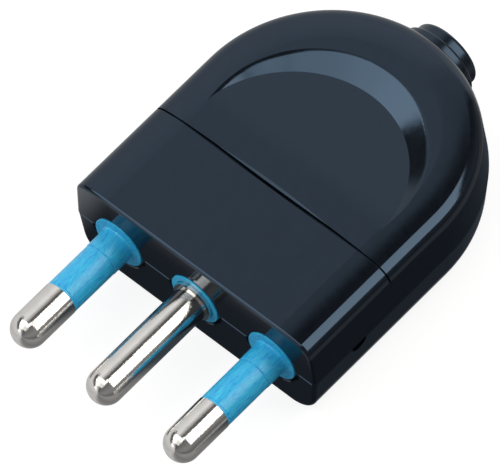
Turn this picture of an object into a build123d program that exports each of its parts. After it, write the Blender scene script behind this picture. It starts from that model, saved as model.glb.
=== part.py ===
"""Rewireable three-pin mains plug, type L, 16 A, with a straight row of round pins.

X runs along the row of pins, Y from the pins to the cable outlet and Z up from the flat
underside. The origin lies on the underside, in the middle of the overall length.
Distances along the plug are measured from the housing's front face, and heights from the
joint between its two shells, where the pins and the cable lie. All sizes are in mm.
"""

import os

from build123d import *

os.makedirs("parts", exist_ok=True)

# Housing: outer form
half_width = 20.2
straight_length = 25.15
upper_height = 8.0
lower_height = 8.0
upper_lean = 0.064
lower_lean = 0.122
crown_width = 5.2
crown_drop = 0.95
upper_edge_radius = 2.2
lower_edge_radius = 4.2
upper_front_radius = 0.45
lower_front_radius = 0.6
joint_bevel = 0.12

# Housing: walls and inner forms
side_wall = 2.0
front_wall = 3.2
roof = 2.4
floor = 1.9
cavity_corner = 1.2
tongue_width = 0.8
tongue_height = 0.9
tongue_play = 0.1
rib_thickness = 1.7
rib_play = 0.1
fit = 0.04

# Pins and their insulating sleeves
pin_pitch = 13.0
pin_radius = 2.5
pin_reach = 19.0
pin_tip_length = 2.35
pin_tip_flat = 0.6
pin_neck_radius = 2.3
pin_collar_radius = 3.6
pin_collar_length = 1.4
live_core_radius = 1.8
earth_core_radius = 2.2
sleeve_reach = 10.8
sleeve_relief = 0.05
sleeve_base_reach = 3.35
sleeve_root = 0.2
flange_radius = 3.84
flange_thickness = 0.8
flange_proud = 0.15
flange_rim = 0.06
upper_flange_gap = 0.12
lower_flange_gap = 0.5
lower_pocket_bevel = 0.15
bush_radius = 3.1
earth_shoulder_radius = 2.97
earth_shoulder_reach = 0.75
earth_shoulder_depth = 0.2

# Terminals
palm_radius = 3.5
palm_length = 8.6
palm_height = 0.8
palm_chamfer = 0.5
clamp_plate_size = 5.8
clamp_plate_thickness = 1.2
clamp_plate_channel = 3.0
clamp_plate_lift = 0.35
terminal_screw_radius = 1.5
terminal_head_radius = 2.5
terminal_head_height = 1.6
terminal_screw_length = 4.6

# Cable outlet
stub_reach = 2.6
cable_bore_radius = 3.6
outer_ring_radius = 5.6
outer_ring_reach = 0.9
end_ring_radius = 4.85
end_ring_length = 1.5
end_ring_round = 0.6
outer_ring_round = 0.4
bore_mouth_round = 0.2
ring_groove_radius = 4.55
ring_seat_depth = 1.1
outlet_neck_radius = 4.3
outlet_web = 1.6
inner_flange_radius = 5.2
inner_flange_thickness = 1.4
outlet_block_half_width = 6.8
outlet_block_lip = 0.8

# Cord clamp
clamp_setback = 9.0
clamp_width = 5.0
clamp_headroom = 0.3
clamp_thickness = 1.3
clamp_foot_drop = 0.8
clamp_foot_margin = 2.8
clamp_foot_corner = 1.0
clamp_ridge = 0.25
clamp_ridge_width = 0.8
clamp_head_gap = 0.3
clamp_boss_radius = 2.4
clamp_screw_radius = 1.4
clamp_head_radius = 2.4
clamp_head_height = 1.5
clamp_screw_length = 6.0

# Assembly screws and their threaded inserts
boss_inset = 8.0
boss_setback = 2.2
boss_radius = 4.0
screw_recess_radius = 3.1
screw_recess_depth = 2.6
assembly_screw_radius = 1.5
assembly_head_radius = 2.75
assembly_head_height = 1.9
assembly_screw_length = 9.4
insert_radius = 2.3
insert_length = 4.4
insert_groove = 0.3
slot_width = 0.8
slot_depth = 0.8

# Top surface: line across, thumb scoop and the notches for prising the shells apart
line_place = 15.0
line_width = 0.26
line_depth = 0.5
line_end_height = 5.6
line_middle_width = 0.86
line_middle_depth = 0.75
line_lip_width = 0.34
line_lip_depth = 0.16
line_front_share = 0.25
scoop_centre = 22.2
scoop_radius = 14.9
scoop_wall_slope = 20.0
scoop_rim_slope = 3.0
scoop_rim_round = 2.5
scoop_floor_start = 19.0
scoop_floor_slope = 5.4
scoop_floor_bend = 30.0
notch_place = 8.35
notch_radius = 1.3
notch_depth = 1.1

# Places that follow from the sizes above
overall_length = pin_reach + straight_length + half_width + stub_reach
face_y = pin_reach - overall_length / 2
joint_z = lower_height
body_length = straight_length + half_width
tail_axis = Axis((0, face_y + straight_length, 0), (0, 0, 1))
pocket_depth = flange_thickness - flange_proud
rib_start = front_wall + pin_collar_length + rib_play
rib_end = rib_start + rib_thickness
palm_start = rib_end + rib_play
palm_end = palm_start + palm_length
screw_place = palm_start + palm_length / 2
pin_places = {"left_live": -pin_pitch, "earth": 0.0, "right_live": pin_pitch}
sides = {"left": -1, "right": 1}
ring_seat = body_length - ring_seat_depth
inner_flange_end = ring_seat - outlet_web
inner_flange_start = inner_flange_end - inner_flange_thickness
outlet_block_start = inner_flange_start - rib_play - outlet_block_lip
clamp_place = body_length - clamp_setback
clamp_arch_radius = upper_height - roof - clamp_headroom - clamp_thickness
clamp_screw_x = clamp_arch_radius + clamp_thickness + clamp_head_gap + clamp_head_radius
clamp_screw_spacing = 2 * clamp_screw_x
clamp_foot_reach = clamp_screw_x + clamp_foot_margin
boss_place = straight_length + boss_setback
boss_x = half_width - boss_inset
boss_spacing = 2 * boss_x
overrun = 1.0


def at(x, back, up):
    """A point given by its distance behind the front face and its height above the joint."""
    return (x, face_y + back, joint_z + up)


def across(back, facing_down=False):
    """The upright plane across the plug, with its y axis away from the joint."""
    return Plane(origin=at(0, back, 0), x_dir=(1, 0, 0), z_dir=(0, 1 if facing_down else -1, 0))


def level(up):
    """The level plane at a height above the joint, with its origin over the front face."""
    return Plane(origin=at(0, 0, up))


def lengthwise(x):
    """The level plane through a pin's axis, with x outward from the axis and y along it."""
    return Plane(origin=at(x, 0, 0))


def finish(piece, name):
    """Name a finished piece and write it."""
    piece.label = name
    export_step(piece, f"parts/{name}.step")


def half_section(width, height, lean, corner, crown=0.0, drop=0.0):
    """Half a shell's cross-section: x outward from the middle, y away from the joint."""
    shoulder = (width - (height - drop) * lean, height - drop)
    with BuildSketch() as section:
        with BuildLine():
            Polyline((0, height), (0, 0), (width, 0), shoulder)
            if drop > 0:
                TangentArc((shoulder[0] - crown, height), shoulder, tangent=(1, 0))
                Line((shoulder[0] - crown, height), (0, height))
            else:
                Line(shoulder, (0, height))
        make_face()
        fillet(section.vertices().sort_by_distance(shoulder)[0], corner)
    return section.sketch


def carried_round(section, start, facing_down):
    """A half section carried straight back along both sides and then round the tail."""
    with BuildPart() as form:
        with BuildSketch(across(start, facing_down)):
            add(section)
            mirror(about=Plane.YZ)
        extrude(amount=straight_length - start, dir=(0, 1, 0))
        with BuildSketch(across(straight_length, facing_down)):
            add(section)
        revolve(axis=tail_axis, revolution_arc=180)
    return form.part


def plan(inset, start):
    """The housing's outline from above, moved in by the inset and cut off at the start."""
    radius = half_width - inset
    left = (-radius, straight_length)
    right = (radius, straight_length)
    with BuildSketch() as outline:
        with BuildLine():
            Polyline(left, (-radius, start), (radius, start), right)
            ThreePointArc(right, (0, straight_length + radius), left)
        make_face()
    return outline.sketch


def edges_off_joint(shell):
    """The edges of a shell's front face, apart from the one along the joint."""
    front = shell.faces().sort_by(Axis.Y)[0]
    return front.edges().filter_by(lambda edge: abs(edge.center().Z - joint_z) > joint_bevel)


def edges_at_joint(shell):
    """The edges of a solid shell's face on the joint."""
    return shell.faces().filter_by(lambda face: abs(face.center().Z - joint_z) < joint_bevel)[0].edges()


upper_section = half_section(
    half_width, upper_height, upper_lean, upper_edge_radius, crown_width, crown_drop
)
lower_section = half_section(half_width, lower_height, lower_lean, lower_edge_radius)
upper_cavity_section = half_section(half_width - side_wall, upper_height - roof, upper_lean, cavity_corner)
lower_cavity_section = half_section(half_width - side_wall, lower_height - floor, lower_lean, cavity_corner)

def pin_ways(flange_gap, bevel=0.0):
    """The ways through a shell for the pins: flange pocket, bush hole and the rib's saddle."""
    pocket_radius = flange_radius + flange_gap
    mouth = [(pocket_radius, -overrun)]
    if bevel > 0:
        mouth = [(pocket_radius + bevel, -overrun), (pocket_radius + bevel, 0), (pocket_radius, bevel)]
    with BuildPart() as ways:
        for x in pin_places.values():
            with BuildSketch(lengthwise(x)):
                Polygon(
                    (0, -overrun),
                    *mouth,
                    (pocket_radius, pocket_depth),
                    (bush_radius + fit, pocket_depth),
                    (bush_radius + fit, front_wall),
                    (pin_neck_radius + fit, front_wall),
                    (pin_neck_radius + fit, rib_end),
                    (0, rib_end),
                    align=None,
                )
            revolve(axis=Axis(at(x, 0, 0), (0, 1, 0)))
    return ways.part


# The way through both shells for the cable outlet: inner lip, flange slot, web and ring seat
with BuildPart() as outlet_way:
    for radius, start, end in (
        (outlet_neck_radius + fit, outlet_block_start, ring_seat),
        (inner_flange_radius + rib_play, inner_flange_start - rib_play, inner_flange_end),
        (outer_ring_radius + rib_play, ring_seat, body_length + overrun),
    ):
        with BuildSketch(across(start)):
            Circle(radius)
        extrude(amount=end - start, dir=(0, 1, 0))


def chamber(section, height, facing_down):
    """The hollow of a shell: its cavity, less the pin rib, the screw bosses and the outlet block."""
    sign = -1 if facing_down else 1
    with BuildPart() as hollow:
        add(carried_round(section, front_wall, facing_down))
        with BuildSketch(level(0)):
            with Locations((0, (rib_start + rib_end) / 2)):
                Rectangle(2 * half_width, rib_thickness)
            with Locations((0, boss_place)):
                with GridLocations(boss_spacing, 0, 2, 1):
                    Circle(boss_radius)
            with Locations((0, (outlet_block_start + body_length) / 2)):
                Rectangle(2 * outlet_block_half_width, body_length - outlet_block_start)
        extrude(amount=sign * height, mode=Mode.SUBTRACT)
        if facing_down:
            with BuildSketch(level(-clamp_foot_drop)):
                with Locations((0, clamp_place)):
                    with GridLocations(clamp_screw_spacing, 0, 2, 1):
                        Circle(clamp_boss_radius)
                    Rectangle(clamp_screw_spacing, clamp_width - clamp_thickness)
            extrude(amount=-height, mode=Mode.SUBTRACT)
    return hollow.part


# The thumb scoop: a shallow ramp that ends at a sloping wall on a round outline
wall_rise = Vector(1, 0).rotate(Axis.Z, scoop_wall_slope)
ramp_dir = Vector(1, 0).rotate(Axis.Z, -scoop_floor_slope)
wall_tangent = wall_rise.Y / wall_rise.X
rim_rise = Vector(1, 0).rotate(Axis.Z, scoop_rim_slope)
rim_tangent = rim_rise.Y / rim_rise.X
with BuildPart() as scoop:
    deep = scoop_radius * wall_tangent
    with BuildSketch(across(scoop_centre)) as scoop_profile:
        with BuildLine():
            Polyline(
                (0, upper_height - deep),
                (scoop_radius, upper_height),
                (scoop_radius + overrun / rim_tangent, upper_height + overrun),
                (0, upper_height + overrun),
                (0, upper_height - deep),
            )
        make_face()
        fillet(scoop_profile.vertices().sort_by_distance((scoop_radius, upper_height))[0], scoop_rim_round)
    revolve(axis=Axis(at(0, scoop_centre, 0), (0, 0, 1)))
    with BuildSketch(Plane(origin=at(0, 0, 0), x_dir=(0, 1, 0), z_dir=(1, 0, 0))):
        bend_length = -scoop_floor_bend * ramp_dir.Y
        bend_drop = scoop_floor_bend * (1 - ramp_dir.X)
        ramp_length = body_length - scoop_floor_start - bend_length
        ramp_end_height = upper_height - bend_drop + ramp_length * ramp_dir.Y / ramp_dir.X
        with BuildLine():
            bend = TangentArc(
                (scoop_floor_start, upper_height),
                (scoop_floor_start + bend_length, upper_height - bend_drop),
                tangent=(1, 0),
            )
            ramp = Line(bend @ 1, (body_length, ramp_end_height))
            Polyline(
                ramp @ 1,
                (body_length, upper_height + overrun),
                (scoop_floor_start, upper_height + overrun),
                bend @ 0,
            )
        make_face()
    extrude(amount=half_width, both=True, mode=Mode.INTERSECT)

# The line across the top: a fine groove of even depth that runs out down both sides
line_core = offset(upper_section + mirror(upper_section, about=Plane.YZ), -line_depth)
with BuildPart() as top_line:
    with BuildSketch(across(line_place - line_width / 2)):
        with Locations((0, upper_height)):
            Rectangle(2 * (half_width + overrun), 2 * (upper_height - line_end_height))
        add(line_core, mode=Mode.SUBTRACT)
    extrude(amount=line_width, dir=(0, 1, 0))

# The same line opens to a notch with a bevelled rear lip in the middle, as a large disc cuts it
disc_radius = (half_width**2 + line_middle_depth**2) / (2 * line_middle_depth)
with BuildPart() as line_middle:
    front_rim = line_place - line_front_share * line_middle_width
    rear_rim = front_rim + line_middle_width
    disc_centre = upper_height - line_middle_depth + disc_radius
    with BuildSketch(Plane(origin=at(0, 0, 0), x_dir=(0, 1, 0), z_dir=(1, 0, 0))):
        with BuildLine():
            Polyline(
                (line_place, upper_height - line_middle_depth),
                (rear_rim - line_lip_width, upper_height - line_lip_depth),
                (rear_rim, upper_height),
                (rear_rim, upper_height + overrun),
                (front_rim, upper_height + overrun),
                (front_rim, upper_height),
                (line_place, upper_height - line_middle_depth),
            )
        make_face()
    revolve(axis=Axis(at(0, 0, disc_centre), (0, 1, 0)), revolution_arc=360)

# Upper shell
with BuildPart() as upper_shell:
    add(carried_round(upper_section, 0, False))
    fillet(edges_off_joint(upper_shell), upper_front_radius)
    chamfer(edges_at_joint(upper_shell), joint_bevel)
    add(scoop.part, mode=Mode.SUBTRACT)
    add(top_line.part, mode=Mode.SUBTRACT)
    add(line_middle.part, mode=Mode.SUBTRACT)
    add(chamber(upper_cavity_section, upper_height, False), mode=Mode.SUBTRACT)
    with BuildSketch(level(0)):
        add(plan(side_wall - tongue_width - tongue_play, front_wall - tongue_width - tongue_play))
        add(plan(side_wall, front_wall), mode=Mode.SUBTRACT)
    extrude(amount=tongue_height + tongue_play, mode=Mode.SUBTRACT)
    with BuildSketch(level(0)):
        with Locations((0, boss_place)):
            with GridLocations(boss_spacing, 0, 2, 1):
                Circle(insert_radius + fit)
    extrude(amount=insert_length, mode=Mode.SUBTRACT)
    with BuildSketch(level(insert_length)):
        with Locations((0, boss_place)):
            with GridLocations(boss_spacing, 0, 2, 1):
                Circle(assembly_screw_radius + fit)
    extrude(amount=rib_play, mode=Mode.SUBTRACT)
    add(pin_ways(upper_flange_gap), mode=Mode.SUBTRACT)
    add(outlet_way.part, mode=Mode.SUBTRACT)
finish(upper_shell.part, "upper_shell")

# Lower shell
with BuildPart() as lower_shell:
    add(carried_round(lower_section, 0, True))
    fillet(edges_off_joint(lower_shell), lower_front_radius)
    chamfer(edges_at_joint(lower_shell), joint_bevel)
    add(chamber(lower_cavity_section, lower_height, True), mode=Mode.SUBTRACT)
    with BuildSketch(level(0)):
        add(plan(side_wall - tongue_width, front_wall - tongue_width))
        add(plan(side_wall, front_wall), mode=Mode.SUBTRACT)
    extrude(amount=tongue_height)
    for side in sides.values():
        outward = Plane(origin=at(side * half_width, 0, 0), x_dir=(0, side, 0), z_dir=(side, 0, 0))
        with BuildSketch(outward):
            with Locations((side * notch_place, 0)):
                Circle(notch_radius)
        extrude(amount=-notch_depth, mode=Mode.SUBTRACT)
    for radius, start, end in (
        (screw_recess_radius, -lower_height, screw_recess_depth - lower_height),
        (assembly_screw_radius + fit, -lower_height, 0),
    ):
        with BuildSketch(level(start)):
            with Locations((0, boss_place)):
                with GridLocations(boss_spacing, 0, 2, 1):
                    Circle(radius)
        extrude(amount=end - start, mode=Mode.SUBTRACT)
    with BuildSketch(level(-clamp_foot_drop)):
        with Locations((0, clamp_place)):
            with GridLocations(clamp_screw_spacing, 0, 2, 1):
                Circle(clamp_screw_radius + fit)
    extrude(amount=-clamp_screw_length, mode=Mode.SUBTRACT)
    with BuildSketch(across(clamp_place)):
        Circle(clamp_arch_radius)
    extrude(amount=clamp_width, both=True, mode=Mode.SUBTRACT)
    add(pin_ways(lower_flange_gap, lower_pocket_bevel), mode=Mode.SUBTRACT)
    add(outlet_way.part, mode=Mode.SUBTRACT)
finish(lower_shell.part, "lower_shell")


def pin(x, steps):
    """A turned pin: domed tip, steps down to its core, collar, neck and a milled palm."""
    with BuildPart() as piece:
        with BuildSketch(lengthwise(x)) as profile:
            with BuildLine():
                tip_end = (pin_radius, pin_tip_length - pin_reach)
                TangentArc(tip_end, (pin_tip_flat, -pin_reach), tangent=(0, -1))
                Polyline(
                    tip_end,
                    *steps,
                    (steps[-1][0], front_wall),
                    (pin_collar_radius, front_wall),
                    (pin_collar_radius, front_wall + pin_collar_length),
                    (pin_neck_radius, front_wall + pin_collar_length),
                    (pin_neck_radius, palm_start),
                    (palm_radius, palm_start),
                    (palm_radius, palm_end),
                    (0, palm_end),
                    (0, -pin_reach),
                    (pin_tip_flat, -pin_reach),
                )
            make_face()
            chamfer(profile.vertices().sort_by_distance((palm_radius, palm_end))[0], palm_chamfer)
        revolve(axis=Axis(at(x, 0, 0), (0, 1, 0)))
        with BuildSketch(level(palm_height)):
            with Locations((x, (palm_start + palm_end) / 2)):
                Rectangle(2 * palm_radius, palm_length)
        extrude(amount=palm_radius, mode=Mode.SUBTRACT)
        with BuildSketch(level(palm_height)):
            with Locations((x, screw_place)):
                Circle(terminal_screw_radius + fit)
        extrude(amount=-2 * palm_radius, mode=Mode.SUBTRACT)
    return piece.part


live_steps = (
    (pin_radius, -sleeve_reach),
    (live_core_radius, -sleeve_reach),
)
earth_steps = (
    (pin_radius, -earth_shoulder_reach),
    (earth_shoulder_radius, -earth_shoulder_reach),
    (earth_shoulder_radius, earth_shoulder_depth),
    (earth_core_radius, earth_shoulder_depth),
)
for name, x in pin_places.items():
    finish(pin(x, earth_steps if name == "earth" else live_steps), f"{name}_pin")


def insulator(x, bore_steps, front_steps):
    """A moulded ring on a pin: its bore, its front steps, the flange in its pocket and the bush."""
    with BuildPart() as piece:
        with BuildSketch(lengthwise(x)) as profile:
            with BuildLine():
                Polyline(
                    (bore_steps[0][0], front_wall),
                    *bore_steps,
                    *front_steps,
                    (flange_radius, -flange_proud),
                    (flange_radius, pocket_depth),
                    (bush_radius, pocket_depth),
                    (bush_radius, front_wall),
                    (bore_steps[0][0], front_wall),
                )
            make_face()
            if front_steps:
                fillet(profile.vertices().sort_by_distance(front_steps[-1])[0], sleeve_root)
            fillet(profile.vertices().sort_by_distance((flange_radius, -flange_proud))[0], flange_rim)
        revolve(axis=Axis(at(x, 0, 0), (0, 1, 0)))
    return piece.part


sleeve_bore = ((live_core_radius + fit, -sleeve_reach),)
sleeve_steps = (
    (pin_radius - sleeve_relief, -sleeve_reach),
    (pin_radius - sleeve_relief, -sleeve_base_reach),
    (pin_radius, -sleeve_base_reach),
    (pin_radius, -flange_proud),
)
for name in ("left_live", "right_live"):
    finish(insulator(pin_places[name], sleeve_bore, sleeve_steps), f"{name}_sleeve")
collar_bore = (
    (earth_core_radius + fit, earth_shoulder_depth),
    (earth_shoulder_radius + fit, earth_shoulder_depth),
    (earth_shoulder_radius + fit, -flange_proud),
)
finish(insulator(pin_places["earth"], collar_bore, ()), "earth_collar")


def screw(seat, points_up, head_radius, head_height, shank_radius, length):
    """A slotted cheese-head screw, given by the point on its axis where its head seats."""
    sign = 1 if points_up else -1
    with BuildPart() as piece:
        with BuildSketch(Plane(origin=seat, x_dir=(1, 0, 0), z_dir=(0, -sign, 0))) as profile:
            with BuildLine():
                Polyline(
                    (0, -head_height),
                    (head_radius, -head_height),
                    (head_radius, 0),
                    (shank_radius, 0),
                    (shank_radius, length),
                    (0, length),
                    (0, -head_height),
                )
            make_face()
            fillet(profile.vertices().sort_by_distance((head_radius, -head_height))[0], head_height / 4)
            chamfer(profile.vertices().sort_by_distance((shank_radius, length))[0], shank_radius / 3)
        revolve(axis=Axis(seat, (0, 0, 1)))
        with BuildSketch(Plane(origin=seat).offset(-sign * head_height)):
            Rectangle(2 * head_radius, slot_width)
        extrude(amount=sign * slot_depth, mode=Mode.SUBTRACT)
    return piece.part


for name, x in pin_places.items():
    # A clamping plate with a lip turned down along each side, on the milled palm
    with BuildPart() as plate:
        with BuildSketch(across(screw_place + clamp_plate_size / 2)):
            with Locations((x, palm_height)):
                Rectangle(clamp_plate_size, clamp_plate_thickness, align=(Align.CENTER, Align.MIN))
                Rectangle(
                    clamp_plate_channel,
                    clamp_plate_lift,
                    align=(Align.CENTER, Align.MIN),
                    mode=Mode.SUBTRACT,
                )
        extrude(amount=clamp_plate_size)
        chamfer(plate.edges().filter_by(Axis.Z), palm_chamfer)
        with BuildSketch(level(palm_height)):
            with Locations((x, screw_place)):
                Circle(terminal_screw_radius + fit)
        extrude(amount=clamp_plate_thickness, mode=Mode.SUBTRACT)
    finish(plate.part, f"{name}_clamping_plate")
    seat = at(x, screw_place, palm_height + clamp_plate_thickness)
    terminal_screw = screw(
        seat, False, terminal_head_radius, terminal_head_height, terminal_screw_radius, terminal_screw_length
    )
    finish(terminal_screw, f"{name}_terminal_screw")

# Cable grommet: two outer rings, the neck in the housing's wall and an inner flange
with BuildPart() as cable_grommet:
    rings_end = body_length + stub_reach
    groove_start = body_length + outer_ring_reach
    groove_end = rings_end - end_ring_length
    with BuildSketch(lengthwise(0)) as profile:
        with BuildLine():
            Polyline(
                (cable_bore_radius, inner_flange_start),
                (inner_flange_radius, inner_flange_start),
                (inner_flange_radius, inner_flange_end - fit),
                (outlet_neck_radius, inner_flange_end - fit),
                (outlet_neck_radius, ring_seat),
                (outer_ring_radius, ring_seat),
                (outer_ring_radius, groove_start),
                (ring_groove_radius, groove_start),
                (ring_groove_radius, groove_end),
                (end_ring_radius, groove_end),
                (end_ring_radius, rings_end),
                (cable_bore_radius, rings_end),
                (cable_bore_radius, inner_flange_start),
            )
        make_face()
        fillet(profile.vertices().sort_by_distance((end_ring_radius, rings_end))[0], end_ring_round)
        fillet(profile.vertices().sort_by_distance((outer_ring_radius, groove_start))[0], outer_ring_round)
        fillet(profile.vertices().sort_by_distance((cable_bore_radius, rings_end))[0], bore_mouth_round)
    revolve(axis=Axis(at(0, 0, 0), (0, 1, 0)))
finish(cable_grommet.part, "cable_grommet")

# Cord clamp: an arched bar over the cable, with two feet and two gripping ridges inside
with BuildPart() as cord_clamp:
    with BuildSketch(across(clamp_place + clamp_width / 2)):
        Circle(clamp_arch_radius + clamp_thickness)
        with Locations((0, -clamp_foot_drop)):
            Rectangle(2 * clamp_foot_reach, clamp_thickness, align=(Align.CENTER, Align.MIN))
        Circle(clamp_arch_radius, mode=Mode.SUBTRACT)
        with Locations((0, -clamp_foot_drop)):
            Rectangle(
                2 * clamp_foot_reach,
                clamp_arch_radius + clamp_thickness,
                align=(Align.CENTER, Align.MAX),
                mode=Mode.SUBTRACT,
            )
    extrude(amount=clamp_width)
    foot_corners = cord_clamp.edges().filter_by(Axis.Z).group_by(lambda edge: abs(edge.center().X))[-1]
    fillet(foot_corners, clamp_foot_corner)
    for back in (clamp_place - clamp_width / 4, clamp_place + clamp_width / 4):
        with BuildSketch(across(back + clamp_ridge_width / 2)):
            Circle(clamp_arch_radius)
            Circle(clamp_arch_radius - clamp_ridge, mode=Mode.SUBTRACT)
            Rectangle(
                2 * clamp_foot_reach,
                clamp_foot_reach,
                align=(Align.CENTER, Align.MAX),
                mode=Mode.SUBTRACT,
            )
        extrude(amount=clamp_ridge_width)
    with BuildSketch(level(-clamp_foot_drop)):
        with Locations((0, clamp_place)):
            with GridLocations(clamp_screw_spacing, 0, 2, 1):
                Circle(clamp_screw_radius + fit)
    extrude(amount=clamp_thickness, mode=Mode.SUBTRACT)
finish(cord_clamp.part, "cord_clamp")

for name, side in sides.items():
    seat = at(side * clamp_screw_x, clamp_place, clamp_thickness - clamp_foot_drop)
    clamp_screw = screw(
        seat, False, clamp_head_radius, clamp_head_height, clamp_screw_radius, clamp_screw_length
    )
    finish(clamp_screw, f"{name}_clamp_screw")

    seat = at(side * boss_x, boss_place, screw_recess_depth - lower_height)
    assembly_screw = screw(
        seat, True, assembly_head_radius, assembly_head_height, assembly_screw_radius, assembly_screw_length
    )
    finish(assembly_screw, f"{name}_assembly_screw")

    # A turned threaded insert in the upper shell's boss, with a groove that holds it there
    foot = at(side * boss_x, boss_place, 0)
    with BuildPart() as insert:
        with BuildSketch(Plane(origin=foot, x_dir=(1, 0, 0), z_dir=(0, -1, 0))):
            with BuildLine():
                bore = assembly_screw_radius + fit
                Polyline(
                    (bore, 0),
                    (insert_radius, 0),
                    (insert_radius, insert_length / 3),
                    (insert_radius - insert_groove, insert_length / 3 + insert_groove),
                    (insert_radius - insert_groove, insert_length * 2 / 3 - insert_groove),
                    (insert_radius, insert_length * 2 / 3),
                    (insert_radius, insert_length),
                    (bore, insert_length),
                    (bore, 0),
                )
            make_face()
        revolve(axis=Axis(foot, (0, 0, 1)))
    finish(insert.part, f"{name}_threaded_insert")
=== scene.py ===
"""The looks of a rewireable mains plug: its plastics, plated pins and fittings, on a pale floor.

Lengths are in metres in the part's own frame: X along the row of pins, Y from the pins to the
cable outlet and Z up from the flat underside.
"""

import math

import bpy
import numpy as np
from bpy.props import FloatProperty, FloatVectorProperty, PointerProperty
from bpy.types import Operator, Panel, PropertyGroup
from mathutils import Matrix, Vector


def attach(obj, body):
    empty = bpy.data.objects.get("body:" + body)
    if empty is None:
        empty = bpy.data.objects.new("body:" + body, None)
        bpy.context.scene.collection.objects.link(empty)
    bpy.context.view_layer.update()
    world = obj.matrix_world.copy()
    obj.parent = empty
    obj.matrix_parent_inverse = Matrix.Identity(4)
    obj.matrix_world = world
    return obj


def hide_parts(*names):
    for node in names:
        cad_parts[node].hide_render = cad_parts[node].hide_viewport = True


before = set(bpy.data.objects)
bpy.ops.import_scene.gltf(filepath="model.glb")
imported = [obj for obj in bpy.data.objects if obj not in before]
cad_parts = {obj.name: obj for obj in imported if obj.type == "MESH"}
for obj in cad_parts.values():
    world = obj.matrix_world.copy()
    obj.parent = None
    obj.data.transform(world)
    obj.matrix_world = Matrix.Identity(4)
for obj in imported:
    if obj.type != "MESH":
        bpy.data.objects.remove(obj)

bl_info = {
    "name": "Mains plug looks",
    "version": (1, 0, 0),
    "blender": (4, 5, 0),
    "location": "View3D > Sidebar > Plug",
    "description": "Finishes for a two-part plug housing, its pins and sleeves, and the studio round it",
    "category": "Material",
}


def colour(name, description, default):
    """A colour property in linear light."""
    return FloatVectorProperty(
        name=name, description=description, subtype="COLOR", size=3, min=0.0, max=1.0, default=default
    )


def share(name, description, default):
    """A property between 0 and 1."""
    return FloatProperty(
        name=name, description=description, subtype="FACTOR", min=0.0, max=1.0, default=default
    )


class PlugFinishes(PropertyGroup):
    """Colours and roughness of the plug's surfaces."""

    housing_colour: colour("Housing", "Body colour of the black plastic", (0.0028, 0.0033, 0.0048))
    housing_sheen_tint: colour("Housing gloss tint", "Tint of the plastic's gloss", (0.46, 0.69, 1.0))
    housing_roughness: share("Housing roughness", "Roughness of the shells' black plastic", 0.11)
    grommet_roughness: share("Grommet roughness", "Roughness of the cable grommet", 0.23)
    clamp_roughness: share("Clamp roughness", "Roughness of the cord clamp", 0.45)
    sleeve_light: colour("Sleeve light", "Blue of the sleeves' lighter streaks", (0.052, 0.60, 0.82))
    sleeve_dark: colour("Sleeve dark", "Blue of the sleeves' darker streaks", (0.005, 0.23, 0.68))
    nickel_colour: colour("Nickel", "Colour of the bright nickel plate", (0.69, 0.67, 0.645))
    nickel_roughness: share("Nickel roughness", "Roughness of the plated pins", 0.11)
    zinc_colour: colour("Zinc", "Colour of the zinc on the screws and plates", (0.62, 0.63, 0.64))
    zinc_roughness: share("Zinc roughness", "Roughness of the screws and clamping plates", 0.24)
    brass_colour: colour("Brass", "Colour of the threaded inserts' brass", (0.78, 0.57, 0.25))
    brass_roughness: share("Brass roughness", "Roughness of the threaded inserts", 0.22)


class PlugStudio(PropertyGroup):
    """The camera's place, the floor and its light."""

    azimuth: FloatProperty(
        name="Azimuth",
        description="Where the camera stands round the plug, from the pins' side",
        subtype="ANGLE",
        default=math.radians(48.18),
    )
    elevation: FloatProperty(
        name="Elevation",
        description="The camera's height over the horizon",
        subtype="ANGLE",
        default=math.radians(57.91),
    )
    roll: FloatProperty(
        name="Roll",
        description="Turn of the picture about the view",
        subtype="ANGLE",
        default=math.radians(-7.11),
    )
    distance: FloatProperty(
        name="Distance", description="From the camera to its aim", unit="LENGTH", default=1.4242
    )
    lens: FloatProperty(name="Lens", description="Focal length", unit="CAMERA", default=818.5)
    aim: FloatVectorProperty(
        name="Aim",
        description="The point in the middle of the picture",
        subtype="TRANSLATION",
        size=3,
        default=(0.00089, -0.004855, 0.01152),
    )
    floor_tone: share("Floor tone", "How pale the floor is", 0.22)
    floor_light: FloatProperty(
        name="Floor light",
        description="Light that the floor gives off, as a light table does",
        min=0.0,
        default=0.86,
    )


def shader(name):
    """A new material with its node tree and Principled shader."""
    material = bpy.data.materials.new(name)
    material.use_nodes = True
    tree = material.node_tree
    return material, tree, tree.nodes["Principled BSDF"]


def node(tree, kind, **values):
    """A node with its settings."""
    made = tree.nodes.new(kind)
    for key, value in values.items():
        setattr(made, key, value)
    return made


def worked_out(tree, operation, *values):
    """What a Math node makes of numbers and of other nodes' values."""
    made = node(tree, "ShaderNodeMath", operation=operation)
    for socket, value in zip(made.inputs, values):
        if isinstance(value, (int, float)):
            socket.default_value = value
        else:
            tree.links.new(value, socket)
    return made.outputs["Value"]


def object_noise(tree, scale, stretch=(1, 1, 1), detail=3.0, roughness=0.5):
    """Noise on Object coordinates: its features per metre, and how far each axis draws them out."""
    place = node(tree, "ShaderNodeTexCoord")
    mapping = node(tree, "ShaderNodeMapping")
    mapping.inputs["Scale"].default_value = tuple(1 / s for s in stretch)
    noise = node(tree, "ShaderNodeTexNoise")
    noise.inputs["Scale"].default_value = scale
    noise.inputs["Detail"].default_value = detail
    noise.inputs["Roughness"].default_value = roughness
    tree.links.new(place.outputs["Object"], mapping.inputs["Vector"])
    tree.links.new(mapping.outputs["Vector"], noise.inputs["Vector"])
    return noise.outputs["Fac"]


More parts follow.
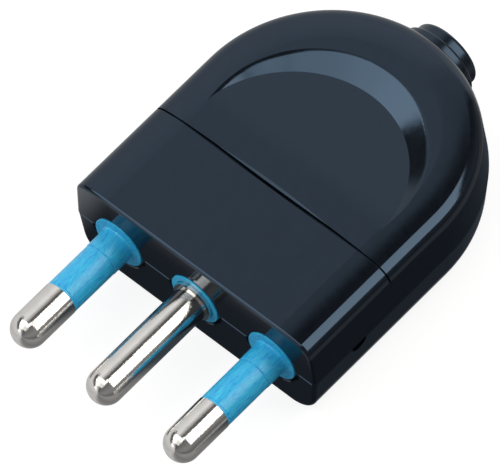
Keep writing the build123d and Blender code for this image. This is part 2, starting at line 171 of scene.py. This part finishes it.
def remap(tree, value, low, high, from_low=0.35, from_high=0.65):
    """A value carried to a new range, from the middle part of noise's range or from another."""
    ranged = node(tree, "ShaderNodeMapRange")
    ranged.inputs["From Min"].default_value = from_low
    ranged.inputs["From Max"].default_value = from_high
    ranged.inputs["To Min"].default_value = low
    ranged.inputs["To Max"].default_value = high
    tree.links.new(value, ranged.inputs["Value"])
    return ranged.outputs["Result"]


def bump(tree, height, depth):
    """The normal of a relief whose height of 1 stands for that depth in metres."""
    made = node(tree, "ShaderNodeBump")
    made.inputs["Distance"].default_value = depth
    made.inputs["Strength"].default_value = 1.0
    tree.links.new(height, made.inputs["Height"])
    return made.outputs["Normal"]


# A Mix node's colour sockets share their names with its others, so they go by place
MIX_FACTOR, MIX_FIRST, MIX_SECOND, MIX_RESULT = 0, 6, 7, 2


def two_tone(tree, value, first, second):
    """A colour between two, by a value."""
    mix = node(tree, "ShaderNodeMix", data_type="RGBA")
    mix.inputs[MIX_FIRST].default_value = (*first, 1)
    mix.inputs[MIX_SECOND].default_value = (*second, 1)
    tree.links.new(value, mix.inputs[MIX_FACTOR])
    return mix.outputs[MIX_RESULT]


def black_plastic(name, finishes, roughness):
    """Glossy black moulding: a faint mottle in its gloss, slow swells and a very fine orange peel."""
    darker, lighter = 0.8, 1.25
    smoother, rougher = 0.01, 0.02
    swell_over_peel = 18.0
    material, tree, bsdf = shader(name)
    mottle = object_noise(tree, scale=900.0, detail=5.0)
    peel = object_noise(tree, scale=9000.0, detail=2.0)
    swell = object_noise(tree, scale=260.0, detail=2.0)
    dark = tuple(darker * c for c in finishes.housing_colour)
    light = tuple(lighter * c for c in finishes.housing_colour)
    tone = two_tone(tree, remap(tree, mottle, 0.0, 1.0), dark, light)
    relief = worked_out(tree, "MULTIPLY_ADD", swell, swell_over_peel, peel)
    tree.links.new(tone, bsdf.inputs["Base Color"])
    tree.links.new(remap(tree, mottle, roughness - smoother, roughness + rougher), bsdf.inputs["Roughness"])
    tree.links.new(bump(tree, relief, depth=0.6e-6), bsdf.inputs["Normal"])
    bsdf.inputs["Specular Tint"].default_value = (*finishes.housing_sheen_tint, 1)
    bsdf.inputs["IOR"].default_value = 1.6
    return material


def blue_plastic(finishes):
    """Light blue moulding with fine lengthwise streaks over a broader mottle."""
    streak_share = 0.6
    material, tree, bsdf = shader("blue_plastic")
    streaks = object_noise(tree, scale=5500.0, stretch=(1, 6, 1), detail=2.0, roughness=0.6)
    mottle = object_noise(tree, scale=1500.0, stretch=(1, 3, 1), detail=4.0)
    pits = object_noise(tree, scale=5000.0, stretch=(1, 2, 1), detail=2.0, roughness=0.6)
    drawn = remap(tree, streaks, 0.0, 1.0, from_low=0.3, from_high=0.7)
    lightness = worked_out(tree, "MULTIPLY_ADD", drawn, streak_share, remap(tree, mottle, 0.20, 0.30))
    tone = two_tone(tree, lightness, finishes.sleeve_dark, finishes.sleeve_light)
    relief = worked_out(tree, "ADD", streaks, pits)
    tree.links.new(tone, bsdf.inputs["Base Color"])
    tree.links.new(remap(tree, streaks, 0.26, 0.38), bsdf.inputs["Roughness"])
    tree.links.new(bump(tree, relief, depth=9e-6), bsdf.inputs["Normal"])
    bsdf.inputs["IOR"].default_value = 1.5
    return material


def bright_metal(name, tint, roughness, streak_axis):
    """Bright metal with faint tool marks drawn out along one axis."""
    mark_length = 14
    duller = 0.93
    smoother, rougher = 0.03, 0.04
    material, tree, bsdf = shader(name)
    stretch = [1, 1, 1]
    stretch["XYZ".index(streak_axis)] = mark_length
    marks = object_noise(tree, scale=3000.0, stretch=stretch, detail=4.0, roughness=0.6)
    grain = object_noise(tree, scale=4600.0, detail=2.0, roughness=0.6)
    clouds = object_noise(tree, scale=600.0, detail=3.0)
    dull = tuple(duller * c for c in tint)
    tone = two_tone(tree, remap(tree, clouds, 0.0, 1.0), dull, tint)
    relief = worked_out(tree, "ADD", marks, remap(tree, grain, 0.0, 1.2))
    tree.links.new(tone, bsdf.inputs["Base Color"])
    tree.links.new(remap(tree, marks, roughness - smoother, roughness + rougher), bsdf.inputs["Roughness"])
    tree.links.new(bump(tree, relief, depth=3.0e-6), bsdf.inputs["Normal"])
    bsdf.inputs["Metallic"].default_value = 1.0
    return material


MILLIMETRE = 0.001


def rounded_outline(corners, steps=6):
    """A closed outline with rounded corners, and its normals.

    Each corner P becomes the curve (1-t)^2 A + 2t(1-t) P + t^2 B, where A and B lie on the sides
    that meet there, at the corner's own distance from P. Rows hold a radius, a distance back from
    the housing's front face and that distance, all in millimetres.
    """
    rows = np.asarray(corners, float) * MILLIMETRE
    place, cut = rows[:, :2], rows[:, 2:]
    before = np.roll(place, 1, axis=0) - place
    after = np.roll(place, -1, axis=0) - place
    start = place + before / np.linalg.norm(before, axis=1, keepdims=True) * cut
    end = place + after / np.linalg.norm(after, axis=1, keepdims=True) * cut
    t = np.linspace(0, 1, steps)[None, :, None]
    start, end, place = start[:, None], end[:, None], place[:, None]
    curve = (1 - t) ** 2 * start + 2 * t * (1 - t) * place + t**2 * end
    heading = (1 - t) * (place - start) + t * (end - place)
    heading /= np.linalg.norm(heading, axis=2, keepdims=True)
    normal = np.stack([-heading[..., 1], heading[..., 0]], axis=2)
    return curve.reshape(-1, 2), normal.reshape(-1, 2)


def turned(name, corners, axis, front, turns=144):
    """A closed outline turned about an axis along Y.

    At the angle a, a point of the outline at radius r and distance d back lies at
    x = axis x + r sin a, y = front + d, z = axis z + r cos a.
    """
    outline, facing = rounded_outline(corners)
    angle = np.linspace(0, math.tau, turns, endpoint=False)[:, None]
    radius, back = outline.T
    spread = np.broadcast_to(front + back, (turns, len(back)))
    points = np.stack([axis[0] + radius * np.sin(angle), spread, axis[1] + radius * np.cos(angle)], axis=2)
    along = np.broadcast_to(facing[:, 1], (turns, len(back)))
    normals = np.stack([facing[:, 0] * np.sin(angle), along, facing[:, 0] * np.cos(angle)], axis=2)
    row, column = np.meshgrid(np.arange(turns), np.arange(len(back)), indexing="ij")
    next_row, next_column = (row + 1) % turns, (column + 1) % len(back)
    corners_of_faces = [(row, column), (row, next_column), (next_row, next_column), (next_row, column)]
    faces = np.stack([r * len(back) + c for r, c in corners_of_faces], axis=2).reshape(-1, 4)
    mesh = bpy.data.meshes.new(name)
    mesh.from_pydata(points.reshape(-1, 3), [], faces.tolist())
    mesh.shade_smooth()
    mesh.normals_split_custom_set_from_vertices(normals.reshape(-1, 3))
    piece = bpy.data.objects.new(name, mesh)
    bpy.context.collection.objects.link(piece)
    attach(piece, "root")
    return piece


def dress(material, *names):
    """Give CAD nodes their material."""
    for name in names:
        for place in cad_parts[name].material_slots:
            place.material = material


def node_box(name):
    """A CAD node's lowest and highest corner."""
    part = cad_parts[name]
    corners = np.array([part.matrix_world @ Vector(corner) for corner in part.bound_box])
    return corners.min(axis=0), corners.max(axis=0)


# Outlines in millimetres: radius, distance back from the housing's front face, and how far the
# corner's round reaches
SLEEVE = (
    (1.84, 3.2, 0.02),
    (1.84, -10.8, 0.03),
    (2.45, -10.8, 0.14),
    (2.45, -10.44, 0.02),
    (2.39, -10.40, 0.01),
    (2.45, -10.36, 0.02),
    (2.45, -3.50, 0.02),
    (2.37, -3.44, 0.01),
    (2.50, -3.35, 0.05),
    (2.50, -0.15, 0.28),
    (3.84, -0.15, 0.07),
    (3.84, 0.65, 0.02),
    (3.10, 0.65, 0.02),
    (3.10, 3.2, 0.02),
)
COLLAR = (
    (2.24, 3.2, 0.02),
    (2.24, 0.2, 0.02),
    (3.01, 0.2, 0.02),
    (3.01, -0.15, 0.06),
    (3.84, -0.15, 0.07),
    (3.84, 0.65, 0.02),
    (3.10, 0.65, 0.02),
    (3.10, 3.2, 0.02),
)


class Sums:
    """Math nodes that work out a value from a place or a direction."""

    def __init__(self, tree, coordinates):
        self.tree = tree
        place = node(tree, "ShaderNodeTexCoord")
        split = node(tree, "ShaderNodeSeparateXYZ")
        tree.links.new(place.outputs[coordinates], split.inputs["Vector"])
        self.x, self.y, self.z = (split.outputs[axis] for axis in "XYZ")

    def math(self, operation, *values):
        return worked_out(self.tree, operation, *values)

    def step(self, value, middle, softness):
        """0 below the middle and 1 above it, with a smooth change as wide as twice the softness."""
        ranged = node(self.tree, "ShaderNodeMapRange", interpolation_type="SMOOTHSTEP")
        ranged.inputs["From Min"].default_value = middle - softness
        ranged.inputs["From Max"].default_value = middle + softness
        self.tree.links.new(value, ranged.inputs["Value"])
        return ranged.outputs["Result"]

    def window(self, value, low, high, softness):
        """1 between two values and 0 outside them, with soft edges."""
        return self.math("SUBTRACT", self.step(value, low, softness), self.step(value, high, softness))

    def past_outline(self, wide, front, tail, aside):
        """How far a place is past an outline like the housing's, less than 0 inside it.

        The outline has a straight front, sides as far out as wide, and past the tail's centre a
        half circle of that radius. All of it is moved aside by that much along X.
        """
        sideways = self.math("SUBTRACT", self.x, aside)
        past_tail = self.math("MAXIMUM", self.math("SUBTRACT", self.y, tail), 0.0)
        squares = (self.math("MULTIPLY", length, length) for length in (sideways, past_tail))
        past_side = self.math("SUBTRACT", self.math("SQRT", self.math("ADD", *squares)), wide)
        return self.math("MAXIMUM", past_side, self.math("SUBTRACT", front, self.y))


# The room's light by the turn about the pins' axis, in degrees from overhead toward the right
ROOM = (
    (-180.0, 0.30),
    (-166.0, 0.55),
    (-148.0, 0.74),
    (-120.0, 0.66),
    (-95.0, 0.80),
    (-65.0, 0.86),
    (-38.0, 1.04),
    (-26.5, 1.00),
    (-23.0, 0.70),
    (-15.0, 0.60),
    (-8.0, 0.22),
    (-3.0, 0.10),
    (64.0, 0.30),
    (80.0, 0.25),
    (95.0, 0.14),
    (107.0, 0.38),
    (130.0, 0.31),
    (150.0, 0.24),
    (180.0, 0.30),
)

# The part of the room that is darkened, so that the right end of the scoop's wall is dark: its
# turns and their soft edge in degrees, its start, end and soft edge along the pins' axis, and the
# share of the light that is taken away
DIM_TURNS = (-66.0, -44.0, 4.0)
DIM_ALONG = (-0.8, 0.2, 0.06)
DIM_SHARE = 0.85

# Light panels: the turn where each starts and ends, its start and end along the pins' axis, its
# soft edges and its light. In order, they mostly light the pins and the right top edge, the scoop's
# wall, that wall's left end, the line across the top, and the joint of the shells at the front.
PANELS = (
    (11.0, 62.0, 0.22, 0.60, 1.5, 0.04, (3.53, 3.47, 3.26)),
    (-44.0, 14.0, -0.35, -0.02, 1.5, 0.03, (2.75, 2.83, 2.75)),
    (7.0, 15.0, -0.02, 0.20, 1.5, 0.03, (2.75, 2.83, 2.75)),
    (-44.0, 16.0, -0.75, -0.35, 3.0, 0.03, (1.0, 1.0, 0.95)),
    (-58.0, -38.0, -0.93, -0.80, 3.0, 0.03, (1.6, 1.6, 1.6)),
)


class Surroundings(Sums):
    """Light that depends on direction alone."""

    def __init__(self, tree):
        super().__init__(tree, "Generated")
        self.turn = self.math("ARCTAN2", self.x, self.z)

    def scaled(self, light, amount):
        """A light, as three numbers or as a node's output, times an amount."""
        made = node(self.tree, "ShaderNodeVectorMath", operation="SCALE")
        if isinstance(light, tuple):
            made.inputs[0].default_value = light
        else:
            self.tree.links.new(light, made.inputs[0])
        self.tree.links.new(amount, made.inputs["Scale"])
        return made.outputs["Vector"]

    def added(self, first, second):
        """Two lights together."""
        made = node(self.tree, "ShaderNodeVectorMath", operation="ADD")
        self.tree.links.new(first, made.inputs[0])
        self.tree.links.new(second, made.inputs[1])
        return made.outputs["Vector"]

    def between_turns(self, start, end, softness):
        """1 between two turns in degrees and 0 outside them, with soft edges."""
        return self.window(self.turn, math.radians(start), math.radians(end), math.radians(softness))

    def panel(self, start, end, front, back, soft_turn, soft_along, light):
        """One panel's light: a window across the turns and one along the pins' axis."""
        across = self.between_turns(start, end, soft_turn)
        along = self.window(self.y, front, back, soft_along)
        return self.scaled(light, self.math("MULTIPLY", across, along))

    def room(self):
        """The room's light by turn, less what is taken away where it is darkened.

        The ramp's ends, 0 and 1, stand for turns of -180 and 180 degrees.
        """
        ramp = node(self.tree, "ShaderNodeValToRGB")
        while len(ramp.color_ramp.elements) < len(ROOM):
            ramp.color_ramp.elements.new(0.5)
        for element, (turn, tone) in zip(ramp.color_ramp.elements, ROOM):
            element.position = turn / 360 + 0.5
            element.color = (tone, tone, tone, 1)
        self.tree.links.new(self.math("MULTIPLY_ADD", self.turn, 1 / math.tau, 0.5), ramp.inputs["Fac"])
        dim = self.math("MULTIPLY", self.between_turns(*DIM_TURNS), self.window(self.y, *DIM_ALONG))
        kept = self.math("SUBTRACT", 1.0, self.math("MULTIPLY", dim, DIM_SHARE))
        return self.scaled(ramp.outputs["Color"], kept)


class PLUG_OT_housing(Operator):
    """Finish both shells, the grommet and the cord clamp in black plastic"""

    bl_idname = "plug.housing"
    bl_label = "Housing"

    def execute(self, context):
        finishes = context.scene.plug_finishes
        shells = black_plastic("housing_plastic", finishes, finishes.housing_roughness)
        grommet = black_plastic("grommet_plastic", finishes, finishes.grommet_roughness)
        clamp = black_plastic("clamp_plastic", finishes, finishes.clamp_roughness)
        dress(shells, "upper_shell", "lower_shell")
        dress(grommet, "cable_grommet")
        dress(clamp, "cord_clamp")
        return {"FINISHED"}


class PLUG_OT_pins(Operator):
    """Finish the three pins in nickel plate"""

    bl_idname = "plug.pins"
    bl_label = "Pins"

    def execute(self, context):
        finishes = context.scene.plug_finishes
        nickel = bright_metal("nickel_plate", tuple(finishes.nickel_colour), finishes.nickel_roughness, "Y")
        dress(nickel, "left_live_pin", "earth_pin", "right_live_pin")
        return {"FINISHED"}


class PLUG_OT_sleeves(Operator):
    """Turn the blue sleeves on the live pins and the collar round the earth pin"""

    bl_idname = "plug.sleeves"
    bl_label = "Sleeves and collar"

    def execute(self, context):
        plastic = blue_plastic(context.scene.plug_finishes)
        for name, corners in (
            ("left_live_sleeve", SLEEVE),
            ("right_live_sleeve", SLEEVE),
            ("earth_collar", COLLAR),
        ):
            low, high = node_box(name)
            axis = ((low[0] + high[0]) / 2, (low[2] + high[2]) / 2)
            front = high[1] - MILLIMETRE * max(back for _, back, _ in corners)
            piece = turned(name + "_turned", corners, axis, front)
            piece.data.materials.append(plastic)
            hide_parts(name)
        return {"FINISHED"}


class PLUG_OT_fittings(Operator):
    """Finish the screws, clamping plates and threaded inserts"""

    bl_idname = "plug.fittings"
    bl_label = "Screws and fittings"

    def execute(self, context):
        finishes = context.scene.plug_finishes
        zinc = bright_metal("zinc_plate", tuple(finishes.zinc_colour), finishes.zinc_roughness, "X")
        brass = bright_metal("turned_brass", tuple(finishes.brass_colour), finishes.brass_roughness, "Z")
        fittings = [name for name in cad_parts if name.endswith(("_screw", "_clamping_plate"))]
        dress(zinc, *fittings)
        dress(brass, "left_threaded_insert", "right_threaded_insert")
        return {"FINISHED"}


def camera_turn(azimuth, elevation, roll):
    """The direction from the aim back to the camera, and the rotation of a camera there, rolled."""
    back = Vector(
        (
            math.sin(azimuth) * math.cos(elevation),
            -math.cos(azimuth) * math.cos(elevation),
            math.sin(elevation),
        )
    )
    return back, (-back).to_track_quat("-Z", "Y").to_matrix() @ Matrix.Rotation(roll, 3, "Z")


def flat_piece(context, name, low, high, height):
    """A rectangle between two corners, which faces up at a height."""
    mesh = bpy.data.meshes.new(name)
    corners = [(low[0], low[1]), (high[0], low[1]), (high[0], high[1]), (low[0], high[1])]
    mesh.from_pydata([(x, y, height) for x, y in corners], [], [(0, 1, 2, 3)])
    piece = bpy.data.objects.new(name, mesh)
    context.collection.objects.link(piece)
    return piece


class PLUG_OT_stage(Operator):
    """Set the floor, the camera and the studio's light"""

    bl_idname = "plug.stage"
    bl_label = "Floor, camera and light"

    def execute(self, context):
        studio = context.scene.plug_studio
        self.camera(context, studio)
        self.floor(context, studio)
        self.shade_round_housing(context)
        self.surroundings(context)
        context.scene.view_settings.view_transform = "Standard"
        return {"FINISHED"}

    def camera(self, context, studio):
        """A far camera with a long lens."""
        back, turn = camera_turn(studio.azimuth, studio.elevation, studio.roll)
        lens = bpy.data.cameras.new("camera")
        lens.sensor_width = 36.0
        lens.lens = studio.lens
        lens.clip_start = 0.1
        lens.clip_end = 10.0
        camera = bpy.data.objects.new("camera", lens)
        context.collection.objects.link(camera)
        place = Vector(studio.aim) + back * studio.distance
        camera.matrix_world = Matrix.Translation(place) @ turn.to_4x4()
        context.scene.camera = camera

    def floor(self, context, studio):
        """A pale floor that gives off light, and that is see-through from below."""
        reach = 1.5
        tone = studio.floor_tone
        darker = 0.99
        floor = flat_piece(context, "floor", (-reach, -reach), (reach, reach), 0)
        material, tree, bsdf = shader("floor_paint")
        grain = remap(tree, object_noise(tree, scale=40.0), 0.0, 1.0)
        paint = two_tone(tree, grain, (tone * darker,) * 3, (tone,) * 3)
        side = node(tree, "ShaderNodeNewGeometry")
        from_above = worked_out(tree, "SUBTRACT", 1.0, side.outputs["Backfacing"])
        tree.links.new(paint, bsdf.inputs["Base Color"])
        tree.links.new(from_above, bsdf.inputs["Alpha"])
        bsdf.inputs["Roughness"].default_value = 0.8
        bsdf.inputs["Specular IOR Level"].default_value = 0.0
        bsdf.inputs["Emission Color"].default_value = (1.0, 1.0, 1.0, 1.0)
        bsdf.inputs["Emission Strength"].default_value = studio.floor_light
        floor.data.materials.append(material)
        # The plug's gloss and colours see the lower half of the room in the floor's place
        floor.visible_glossy = False
        floor.visible_diffuse = False

    def shade_round_housing(self, context):
        """A card that only the gloss sees: the floor's dark contact shade, which fades outward.

        It ends beneath the housing, so that the underside doesn't reflect it.
        """
        margin = 0.017
        aside = 0.005
        below_floor = -0.00005
        shade_end, shade_softness = 0.0085, 0.0035
        inner_edge, inner_softness = -0.0004, 0.0003
        darker, lighter = (0.040, 0.052, 0.064), (0.050, 0.064, 0.080)
        low, high = node_box("upper_shell")
        wide = (high[0] - low[0]) / 2
        tail = high[1] - wide
        card = flat_piece(context, "contact_shade", low - margin, high + margin, below_floor)
        material, tree, bsdf = shader("contact_shade")
        sums = Sums(tree, "Object")
        past_shade = sums.past_outline(wide, low[1], tail, aside)
        past_housing = sums.past_outline(wide, low[1], tail, 0.0)
        fading = sums.math("SUBTRACT", 1.0, sums.step(past_shade, shade_end, shade_softness))
        outside = sums.step(past_housing, inner_edge, inner_softness)
        grain = remap(tree, object_noise(tree, scale=60.0), 0.9, 1.1)
        tree.links.new(two_tone(tree, grain, darker, lighter), bsdf.inputs["Emission Color"])
        tree.links.new(sums.math("MULTIPLY", fading, outside), bsdf.inputs["Alpha"])
        bsdf.inputs["Base Color"].default_value = (0, 0, 0, 1)
        bsdf.inputs["Specular IOR Level"].default_value = 0.0
        bsdf.inputs["Emission Strength"].default_value = 1.0
        card.data.materials.append(material)
        card.visible_camera = False
        card.visible_diffuse = False
        card.visible_shadow = False

    def surroundings(self, context):
        """The room's light and the panels', as a function of the direction looked in."""
        world = bpy.data.worlds.new("studio")
        context.scene.world = world
        world.use_nodes = True
        tree = world.node_tree
        tree.nodes.clear()
        sky = Surroundings(tree)
        light = sky.room()
        for panel in PANELS:
            light = sky.added(light, sky.panel(*panel))
        background = node(tree, "ShaderNodeBackground")
        output = node(tree, "ShaderNodeOutputWorld")
        tree.links.new(light, background.inputs["Color"])
        tree.links.new(background.outputs["Background"], output.inputs["Surface"])
        world.cycles.sampling_method = "MANUAL"
        world.cycles.sample_map_resolution = 1024


STEPS = (PLUG_OT_stage, PLUG_OT_housing, PLUG_OT_pins, PLUG_OT_sleeves, PLUG_OT_fittings)


class PLUG_PT_looks(Panel):
    """The plug's finishes and the steps that apply them"""

    bl_idname = "PLUG_PT_looks"
    bl_label = "Mains plug"
    bl_space_type = "VIEW_3D"
    bl_region_type = "UI"
    bl_category = "Plug"

    def draw(self, context):
        for group in (context.scene.plug_finishes, context.scene.plug_studio):
            column = self.layout.column()
            for name in group.__annotations__:
                column.prop(group, name)
        for step in STEPS:
            self.layout.operator(step.bl_idname)


CLASSES = (PlugFinishes, PlugStudio, *STEPS, PLUG_PT_looks)


def register():
    for made in CLASSES:
        bpy.utils.register_class(made)
    bpy.types.Scene.plug_finishes = PointerProperty(type=PlugFinishes)
    bpy.types.Scene.plug_studio = PointerProperty(type=PlugStudio)


def unregister():
    del bpy.types.Scene.plug_studio
    del bpy.types.Scene.plug_finishes
    for made in reversed(CLASSES):
        bpy.utils.unregister_class(made)


def main():
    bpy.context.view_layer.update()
    register()
    bpy.ops.plug.stage()
    bpy.ops.plug.housing()
    bpy.ops.plug.pins()
    bpy.ops.plug.sleeves()
    bpy.ops.plug.fittings()


if __name__ == "__main__":
    main()
